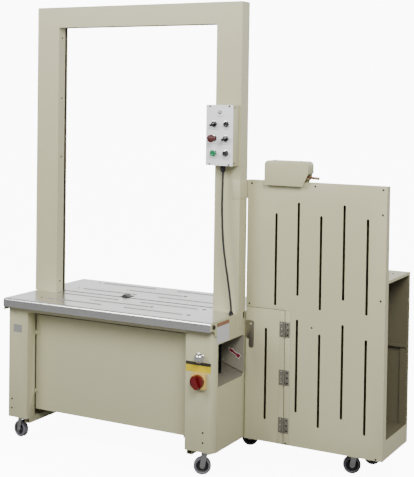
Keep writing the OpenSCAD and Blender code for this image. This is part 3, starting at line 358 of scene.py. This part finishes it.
def lathe(profile, centre, axis, steps=40):
    """A profile of (radius, height) pairs in millimetres, spun round an axis."""
    bm = bmesh.new()
    verts = [bm.verts.new((r / 1000, 0, h / 1000)) for r, h in profile]
    edges = [bm.edges.new(pair) for pair in zip(verts, verts[1:])]
    bmesh.ops.spin(bm, geom=verts + edges, cent=(0, 0, 0), axis=(0, 0, 1), angle=2 * math.pi,
        steps=steps, use_merge=True)
    bmesh.ops.remove_doubles(bm, verts=bm.verts, dist=1e-6)
    bmesh.ops.recalc_face_normals(bm, faces=bm.faces)
    turn = Vector((0, 0, 1)).rotation_difference(Vector(axis)).to_matrix().to_4x4()
    bmesh.ops.transform(bm, matrix=Matrix.Translation(centre) @ turn, verts=bm.verts)
    return bm


def slab(low, high, round_off=0.5, segments=2):
    """A block between two corners with its edges rounded off by some millimetres."""
    bm = bmesh.new()
    bmesh.ops.create_cube(bm, size=1)
    low, high = Vector(low), Vector(high)
    bmesh.ops.scale(bm, vec=high - low, verts=bm.verts)
    bmesh.ops.translate(bm, vec=(low + high) / 2, verts=bm.verts)
    if round_off:
        bmesh.ops.bevel(bm, geom=bm.edges[:], offset=round_off / 1000, segments=segments, profile=0.5,
            affect="EDGES", material=-1)
    return bm


def turned(bm, matrix):
    bmesh.ops.transform(bm, matrix=matrix, verts=bm.verts)
    return bm


def plane(face):
    face.normal_update()
    return (*[round(v + 0.0, 3) for v in face.normal], round(face.normal.dot(face.verts[0].co), 4))


def rounded_copy(node, finish, width=0.5, segments=2, angle=34, edges=None):
    """A CAD node's shape with the sharp edges of its sheet or casting broken."""
    bm = bmesh.new()
    bm.from_mesh(nodes[node].data)
    bmesh.ops.remove_doubles(bm, verts=bm.verts, dist=3e-6)
    bmesh.ops.dissolve_limit(bm, angle_limit=math.radians(0.7), verts=bm.verts, edges=bm.edges)
    folded = [e for e in bm.edges if e.is_manifold and e.calc_face_angle(0) > math.radians(angle)
        and e.calc_length() > 0.0012]
    level = {plane(f) for f in bm.faces if f.calc_area() > 0.01
        or all(not e.is_manifold or e.calc_face_angle(0) > 0.3 for e in f.edges)}
    bmesh.ops.bevel(bm, geom=folded, offset=width / 1000, segments=segments, profile=0.5,
        affect="EDGES", clamp_overlap=True, material=-1)
    flat = {face for face in bm.faces if plane(face) in level or face.calc_area() > 0.004}
    low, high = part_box(node)
    # Sideways faces away from the outline, the walls of slots and cut-outs, take the second finish, the
    # painted shade given as edges.
    inner = [f for f in bm.faces if abs(f.normal.y) < 0.6 and all(
        low[k] + 0.03 < f.calc_center_median()[k] < high[k] - 0.03 for k in (0, 2))]
    for face in inner if edges else ():
        face.material_index = 1
    made = piece(node + "_shape", bm, finish, nodes[node]["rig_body"], [node], flat=flat)
    if edges:
        made.data.materials.append(edges)
    return made


def paint(finish, *names):
    for name in names:
        for place in nodes[name].material_slots:
            place.material = finish


# --- Control cable --------------------------------------------------------

cable_route = [at(x, y, z) for x, y, z in (
    (1031, 220, 1286), (1031, 220, 1266), (1031, 219, 1244), (1031, 218, 1220), (1031, 217, 1196),
    (1032, 215, 1172), (1032, 214, 1148), (1033, 213, 1124), (1034, 212, 1100), (1036, 211, 1076),
    (1037, 210, 1052), (1039, 210, 1028), (1041, 209, 1004), (1043, 209, 980), (1046, 209, 956),
    (1049, 209, 932), (1053, 210, 908), (1056, 210, 884), (1060, 211, 860), (1064, 212, 836),
    (1067, 213, 812), (1070, 215, 788), (1073, 217, 764), (1075, 219, 740), (1077, 222, 716),
    (1078, 224, 696), (1078, 225, 680), (1078, 225, TABLE_TOP))]
curve = bpy.data.curves.new("control_cable_run", "CURVE")
curve.dimensions = "3D"
CABLE_D = 0.009
curve.bevel_depth = CABLE_D / 2
curve.bevel_resolution = 5
curve.use_fill_caps = True
line = curve.splines.new("POLY")
line.points.add(len(cable_route) - 1)
for point, spot in zip(line.points, cable_route):
    point.co = (*spot, 1)
line.use_smooth = True
curve.materials.append(cable_rubber)
cable = bpy.data.objects.new("control_cable_run", curve)
scene.collection.objects.link(cable)
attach(cable, "frame")
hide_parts("control_cable")
run = sum((b - a).length for a, b in zip(cable_route, cable_route[1:]))
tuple(cable_route[0])

# --- Panels, frame and arch -----------------------------------------------

for node in ("right_leg", "left_end_panel", "rear_panel", "control_box", "hood", "link_bracket",
        "front_frame"):
    rounded_copy(node, cream_enamel)
paint(cream_enamel, "arch_left_column", "arch_right_column", "arch_top_beam", "right_end_panel")
paint(door_shaded_enamel, "front_door")
rounded_copy("strap_inlet_guide", inlet_shaded_enamel, 0.3)
for node in ("cabinet_front_panel", "cabinet_door"):
    panel = rounded_copy(node, cream_enamel, 0.25, edges=slot_wall_shade)
# The hinge leaves on the small door
panel.data.materials.append(hinge_steel)
for face in panel.data.polygons:
    if face.center.y < at(0, 313.95, 0).y and face.center.x > at(1240, 0, 0).x:
        face.material_index = 2
for node in ("cabinet_hinges", "door_latch", "caster_plates", "hood_roller", "reel_axle"):
    rounded_copy(node, zinc if "caster" in node or "reel" in node else hinge_steel, 0.3)
rounded_copy("strap_reel", reel_plastic, 0.8)
rounded_copy("drive_motor", motor_enamel, 0.8)
rounded_copy("electrics_box", motor_enamel, 1.0)
rounded_copy("cable_fittings", black_plastic, 0.5)
rounded_copy("main_switch_base", yellow_base, 1.2, 3)
rounded_copy("main_switch_handle", red_plastic, 1.2, 3)
paint(bronze, "guide_lever")
for number in range(1, 7):
    rounded_copy("caster_fork_%d" % number, zinc, 0.4)
paint(frame_shaded_enamel, "base_frame")
paint(body_enamel, "cabinet_body")
paint(table_steel, "table_front_plate", "table_rear_plate")
paint(track_steel, "strap_track")
paint(dark_steel, "head_frame", "sealing_anvil", "feed_roller")
paint(zinc, "cam_shaft")
paint(face_plate, "control_face_plate")
paint(labels, "label_plates")

# Dark discs on the table top at the ends of the glide ribs, painted shade of the openings there, larger at
# their right ends
low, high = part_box("table_rear_plate")
depth = (high.y - low.y) * 1000
slit = (low.y - corner.y) * 1000
spots = []
for row, y in enumerate((105, 176, 246, slit + 0.26 * depth, slit + 0.5 * depth, slit + 0.8 * depth)):
    for x in ((387,) if row % 3 == 1 else (157, 618)):
        for end, size in ((x + 316, 9.5), (x - 9, 6)):
            spot = lathe([(0, 0), (size, 0), (size - 0.5, 0.3), (0, 0.3)], Vector(), (0, 0, 1), 24)
            bmesh.ops.scale(spot, vec=(1, 1.25, 1), verts=spot.verts)
            spots.append(turned(spot, Matrix.Translation(at(end, y, TABLE_TOP))))
piece("rib_end_opening_shade", gather(*spots), opening_painted_shade, "frame")

# Heads of the screws: a low dome round a socket, one on each solid of the CAD node
def heads(node):
    bm = bmesh.new()
    bm.from_mesh(nodes[node].data)
    bmesh.ops.remove_doubles(bm, verts=bm.verts, dist=1e-6)
    left = set(bm.verts)
    while left:
        reached, front = set(), [left.pop()]
        while front:
            vert = front.pop()
            reached.add(vert)
            near = [e.other_vert(vert) for e in vert.link_edges]
            front += [v for v in near if v in left]
            left.difference_update(near)
        spots = [v.co for v in reached]
        box_low = Vector([min(c[k] for c in spots) for k in range(3)])
        box_high = Vector([max(c[k] for c in spots) for k in range(3)])
        yield box_low, box_high
    bm.free()


dome = ((0, 0.9), (1.7, 0.9), (1.9, 2.3), (2.9, 2.15), (3.7, 1.5), (4.2, 0.6), (4.2, 0), (0, 0))
domes = []
for low, high in sorted(heads("screws"), key=lambda pair: tuple(round(v, 5) for v in pair[0])):
    size = high - low
    thin = min(range(3), key=lambda k: size[k])
    facing = Vector([0, 0, 0])
    facing[thin] = -1 if thin == 1 and low.y < 0.2 else 1
    seat = (low + high) / 2 - facing * size[thin] / 2
    if max(size) < 0.012:
        domes.append(lathe(dome, seat, facing, 20))
    else:
        washer = ((0, 0), (9.8, 0), (9.8, 1.4), (9, 1.9), (0, 1.9))
        collar = ((0, 1.9), (9.4, 1.9), (9.8, 3), (9.8, 11.4), (8.6, 12.8), (4.6, 13), (4, 11.6), (0, 11.6))
        domes += [lathe(washer, Vector((low.x, *seat[1:])), (1, 0, 0), 24),
            lathe(collar, Vector((low.x, *seat[1:])), (1, 0, 0), 6)]
piece("panel_screws", gather(*domes), screw_black, "frame", ["screws"])

# --- Controls -------------------------------------------------------------

FRONT = (0, -1, 0)
col_a, col_b, row_top, row_mid, row_low, seat_y = 1002.5, 1060.5, 1494, 1432, 1368, 203
lamp_x, lamp_z = 1028.5, 1546


def button(name, x, z, finish, *profile):
    bm = lathe(((0, 0), (10.7, 0)) + profile, at(x, seat_y, z), FRONT, 48)
    return piece(name + "_shape", bm, finish, nodes[name]["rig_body"], [name])


button("reset_button", col_b, row_top, black_plastic,
    (10.7, 23.6), (10.2, 25.2), (9.2, 26), (8.2, 25.9), (7.2, 25.1), (0, 24.8))
button("feed_button", col_b, row_low, black_plastic,
    (10.7, 29.6), (10.2, 31.2), (9.2, 32), (8.2, 31.9), (7.2, 31), (0, 30.7))
button("start_button", col_a, row_low, green_lens,
    (10.7, 23), (13.2, 23.3), (13.8, 24.2), (13.8, 29), (13.1, 31.4), (11.6, 32.7), (9.6, 33), (8.4, 32.2),
    (5, 31.5), (0, 31.7))
button("stop_button", col_a, row_mid, dull_red,
    (10.7, 24), (8.5, 24.4), (8.5, 39.6), (14.2, 40), (16, 40.8), (17, 42.6), (17, 49.6), (16.4, 51.6),
    (14.6, 53.2), (12.8, 53.6), (11.8, 52.9), (10.8, 53.3), (9.4, 54.8), (5, 55.9), (0, 56.2))
piece("pilot_lamp_shape", lathe([(0, 0), (5.9, 0), (5.9, 17.2), (5.4, 19.2), (3.8, 21.2), (0, 22)],
    at(lamp_x, seat_y, lamp_z), FRONT, 32), lamp_lens, "frame", ["pilot_lamp"])
for node, x, z in (("speed_selector", col_a, row_top), ("mode_selector", col_b, row_mid)):
    body = nodes[node]["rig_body"]
    base = lathe([(0, 0), (10.7, 0), (10.7, 19), (12.3, 19.2), (12.5, 20), (12.5, 23.4), (11.6, 24.8),
        (0, 25)], at(x, seat_y, z), FRONT, 48)
    swing = Matrix.Translation(at(x, 163, z)) @ Matrix.Rotation(math.radians(60), 4, "Y")
    lever = turned(slab((-0.0045, 0, -0.014), (0.0045, 0.0165, 0.014), 1.4, 3), swing)
    mark = turned(slab((-0.0009, -0.0001, 0.003), (0.0009, 0.001, 0.0125), 0.2), swing)
    piece(node + "_shape", gather(base, lever), black_plastic, body, [node])
    piece(node + "_mark", mark, white_mark, body)

rings = [lathe([(11, 12.6), (14.9, 12.6), (14.9, 16.4), (14, 18), (12, 18.6), (11.1, 18.1), (11, 12.6)],
    at(x, seat_y, z), FRONT, 48) for x in (col_a, col_b) for z in (row_top, row_mid, row_low)]
rings.append(lathe([(6.1, 12.6), (9.6, 12.6), (9.6, 15.2), (8.4, 16.8), (6.3, 17), (6.1, 12.6)],
    at(lamp_x, seat_y, lamp_z), FRONT, 40))
piece("control_rings", gather(*rings), chrome, "frame")

marks = [slab(at(x - w / 2, 189.75, z - 0.8), at(x + w / 2, 190.1, z + 0.8), 0.1) for x, z, w in (
    (1028, 1528, 26), (col_a, 1471, 30), (col_b, 1471, 22), (col_a, 1408, 22), (col_b, 1408, 30),
    (col_a, 1345, 22), (col_b, 1345, 34), (col_b + 2, 1340, 22))]
piece("control_marks", gather(*marks), grey_mark, "frame")

grip = [(0, 0), (14, 0), (14, 3.3), (13.2, 4), (7, 4.2), (7, 17.8), (17, 18), (20.8, 18.6), (22, 19.8),
    (22, 21.4), (20.8, 22.2), (18, 22.6), (17.7, 24), (17.7, 33)]
grip += [(22 * math.cos(math.radians(a)), 20 + 22 * math.sin(math.radians(a))) for a in range(38, 90, 6)]
piece("adjusting_knob_shape", lathe(grip + [(0, 42)], at(1037, 37.7, 512), FRONT, 64), chrome,
    nodes["adjusting_knob"]["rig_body"], ["adjusting_knob"])

# Sleeve on the lever that sticks out of the hood
rod_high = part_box("guide_lever")[1]
slope = math.radians(4)
sleeve = lathe([(4.6, 0), (5.6, 0.4), (6, 1.2), (6, 44), (5.4, 45.4), (3, 45.8), (0, 45.8)],
    Vector((rod_high.x - 0.0462, at(0, 320, 0).y, at(0, 0, 1276).z - 0.0567 * math.tan(slope))),
    (math.cos(slope), 0, -math.sin(slope)), 32)
piece("lever_sleeve", sleeve, bronze, nodes["guide_lever"]["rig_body"])

# Arrow on the wall of the strap inlet, pointing up and to the left
def flat(points, y, thick):
    bm = bmesh.new()
    verts = [bm.verts.new(at(x, y, z)) for x, z in points]
    face = bm.faces.new(verts)
    grown = bmesh.ops.extrude_face_region(bm, geom=[face])["geom"]
    front = [v for v in grown if isinstance(v, bmesh.types.BMVert)]
    bmesh.ops.translate(bm, vec=(0, -thick / 1000, 0), verts=front)
    bmesh.ops.recalc_face_normals(bm, faces=bm.faces)
    return bm


def arrow(grow):
    ahead = Vector((1030 - 1085, 499 - 466)).normalized()
    across = Vector((-ahead.y, ahead.x))
    outline = ((-grow, -9 - grow), (18, -8 - grow), (18, -4.5 - grow), (40, -4.5 - grow),
        (40, -10 - 1.4 * grow), (64 + 1.8 * grow, 0), (40, 10 + 1.4 * grow), (40, 4.5 + grow),
        (18, 4.5 + grow), (18, 8 + grow), (-grow, 9 + grow))
    return [(1085 + along * ahead.x + side * across.x, 466 + along * ahead.y + side * across.y)
        for along, side in outline]


piece("arrow_border", flat(arrow(2.2), 302.05, 0.4), white_mark, "frame")
piece("arrow", flat(arrow(0), 301.8, 0.5), arrow_red, "frame")

# --- Casters --------------------------------------------------------------

tyre = [(26.5, -12), (29, -13.4), (33, -14), (36, -13.2), (37.5, -11.2), (38, -8), (38, 8), (37.5, 11.2),
    (36, 13.2), (33, 14), (29, 13.4), (26.5, 12), (26.5, -12)]
disc = [(8.5, -8), (12, -7.6), (19, -5), (23, -6), (26, -11.6), (27, -12), (27, 12), (26, 11.6), (23, 6),
    (19, 5), (12, 7.6), (8.5, 8), (8.5, -8)]
boss = [(4.1, -14.3), (8.4, -14.3), (9, -13.4), (9, 13.4), (8.4, 14.3), (4.1, 14.3), (4.1, -14.3)]
for number, heading in enumerate((168, 208, 30, 198, 208, 20), 1):
    node = "caster_wheel_%d" % number
    turn = math.radians(heading)
    axle = Vector((-math.sin(turn), math.cos(turn), 0))
    body = nodes[node]["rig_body"]
    piece(node + "_tyre", lathe(tyre, middle(node), axle, 72), tread, body, [node], 50)
    piece(node + "_disc", lathe(disc, middle(node), axle, 64), hub_black, body, (), 50)
    piece(node + "_boss", lathe(boss, middle(node), axle, 32), hub_grey, body)


# --- Floor and light ------------------------------------------------------

def seen_or_lit(tree, seen, lit, out):
    """One shader for what the camera sees straight on, another for all other rays."""
    path = tree.nodes.new("ShaderNodeLightPath")
    choice = tree.nodes.new("ShaderNodeMixShader")
    tree.links.new(path.outputs["Is Camera Ray"], choice.inputs[0])
    tree.links.new(lit.outputs[0], choice.inputs[1])
    tree.links.new(seen.outputs[0], choice.inputs[2])
    tree.links.new(choice.outputs[0], tree.nodes[out].inputs["Surface"])


def studio():
    floor_bm = bmesh.new()
    bmesh.ops.create_grid(floor_bm, x_segments=1, y_segments=1, size=30)
    mesh = bpy.data.meshes.new("floor")
    floor_bm.to_mesh(mesh)
    floor_bm.free()
    pale = Finish("pale_floor", Roughness=0.8, Specular_IOR_Level=0.1)
    cloud = pale.noise(0.8)
    pale.feed(Base_Color=pale.mix(cloud, (0.26, 0.26, 0.26, 1), (0.28, 0.28, 0.28, 1)))
    bright = pale.tree.nodes.new("ShaderNodeBsdfPrincipled")
    bright.inputs["Base Color"].default_value = (0.95, 0.95, 0.95, 1)
    bright.inputs["Roughness"].default_value = 0.9
    bright.inputs["Emission Color"].default_value = (1, 1, 1, 1)
    bright.inputs["Emission Strength"].default_value = 10
    seen_or_lit(pale.tree, bright, pale.shader, "Material Output")
    mesh.materials.append(pale.material)
    floor = bpy.data.objects.new("floor", mesh)
    scene.collection.objects.link(floor)
    world = bpy.data.worlds.new("soft_room")
    world.use_nodes = True
    tree = world.node_tree
    lit = tree.nodes["Background"]
    lit.inputs["Color"].default_value = (1, 1, 1, 1)
    # The room is brighter behind the machine, which the polished table mirrors
    place = tree.nodes.new("ShaderNodeTexCoord")
    parts = tree.nodes.new("ShaderNodeSeparateXYZ")
    ramp = tree.nodes.new("ShaderNodeMapRange")
    tree.links.new(place.outputs["Generated"], parts.inputs[0])
    tree.links.new(parts.outputs["Y"], ramp.inputs["Value"])
    for key, value in (("From Min", 0.0), ("From Max", 0.8), ("To Min", 0.36), ("To Max", 1.7)):
        ramp.inputs[key].default_value = value
    tree.links.new(ramp.outputs["Result"], lit.inputs["Strength"])
    seen = tree.nodes.new("ShaderNodeBackground")
    seen.inputs["Color"].default_value = (1, 1, 1, 1)
    seen.inputs["Strength"].default_value = 10.5
    seen_or_lit(tree, seen, lit, "World Output")
    scene.world = world
    for name, place, target, size, power in (
            ("key_light", (2.6, -3.0, 3.6), (0, 0, 1.8), 2.0, 225),
            ("fill_light", (-2.2, -3.2, 3.4), (-0.3, 0, 1.8), 2.2, 150)):
        light = bpy.data.lights.new(name, "AREA")
        light.shape = "SQUARE"
        light.size = size
        light.energy = power
        lamp = bpy.data.objects.new(name, light)
        scene.collection.objects.link(lamp)
        lamp.location = place
        lamp.rotation_mode = "QUATERNION"
        lamp.rotation_quaternion = (Vector(target) - Vector(place)).to_track_quat("-Z", "Y")


studio()
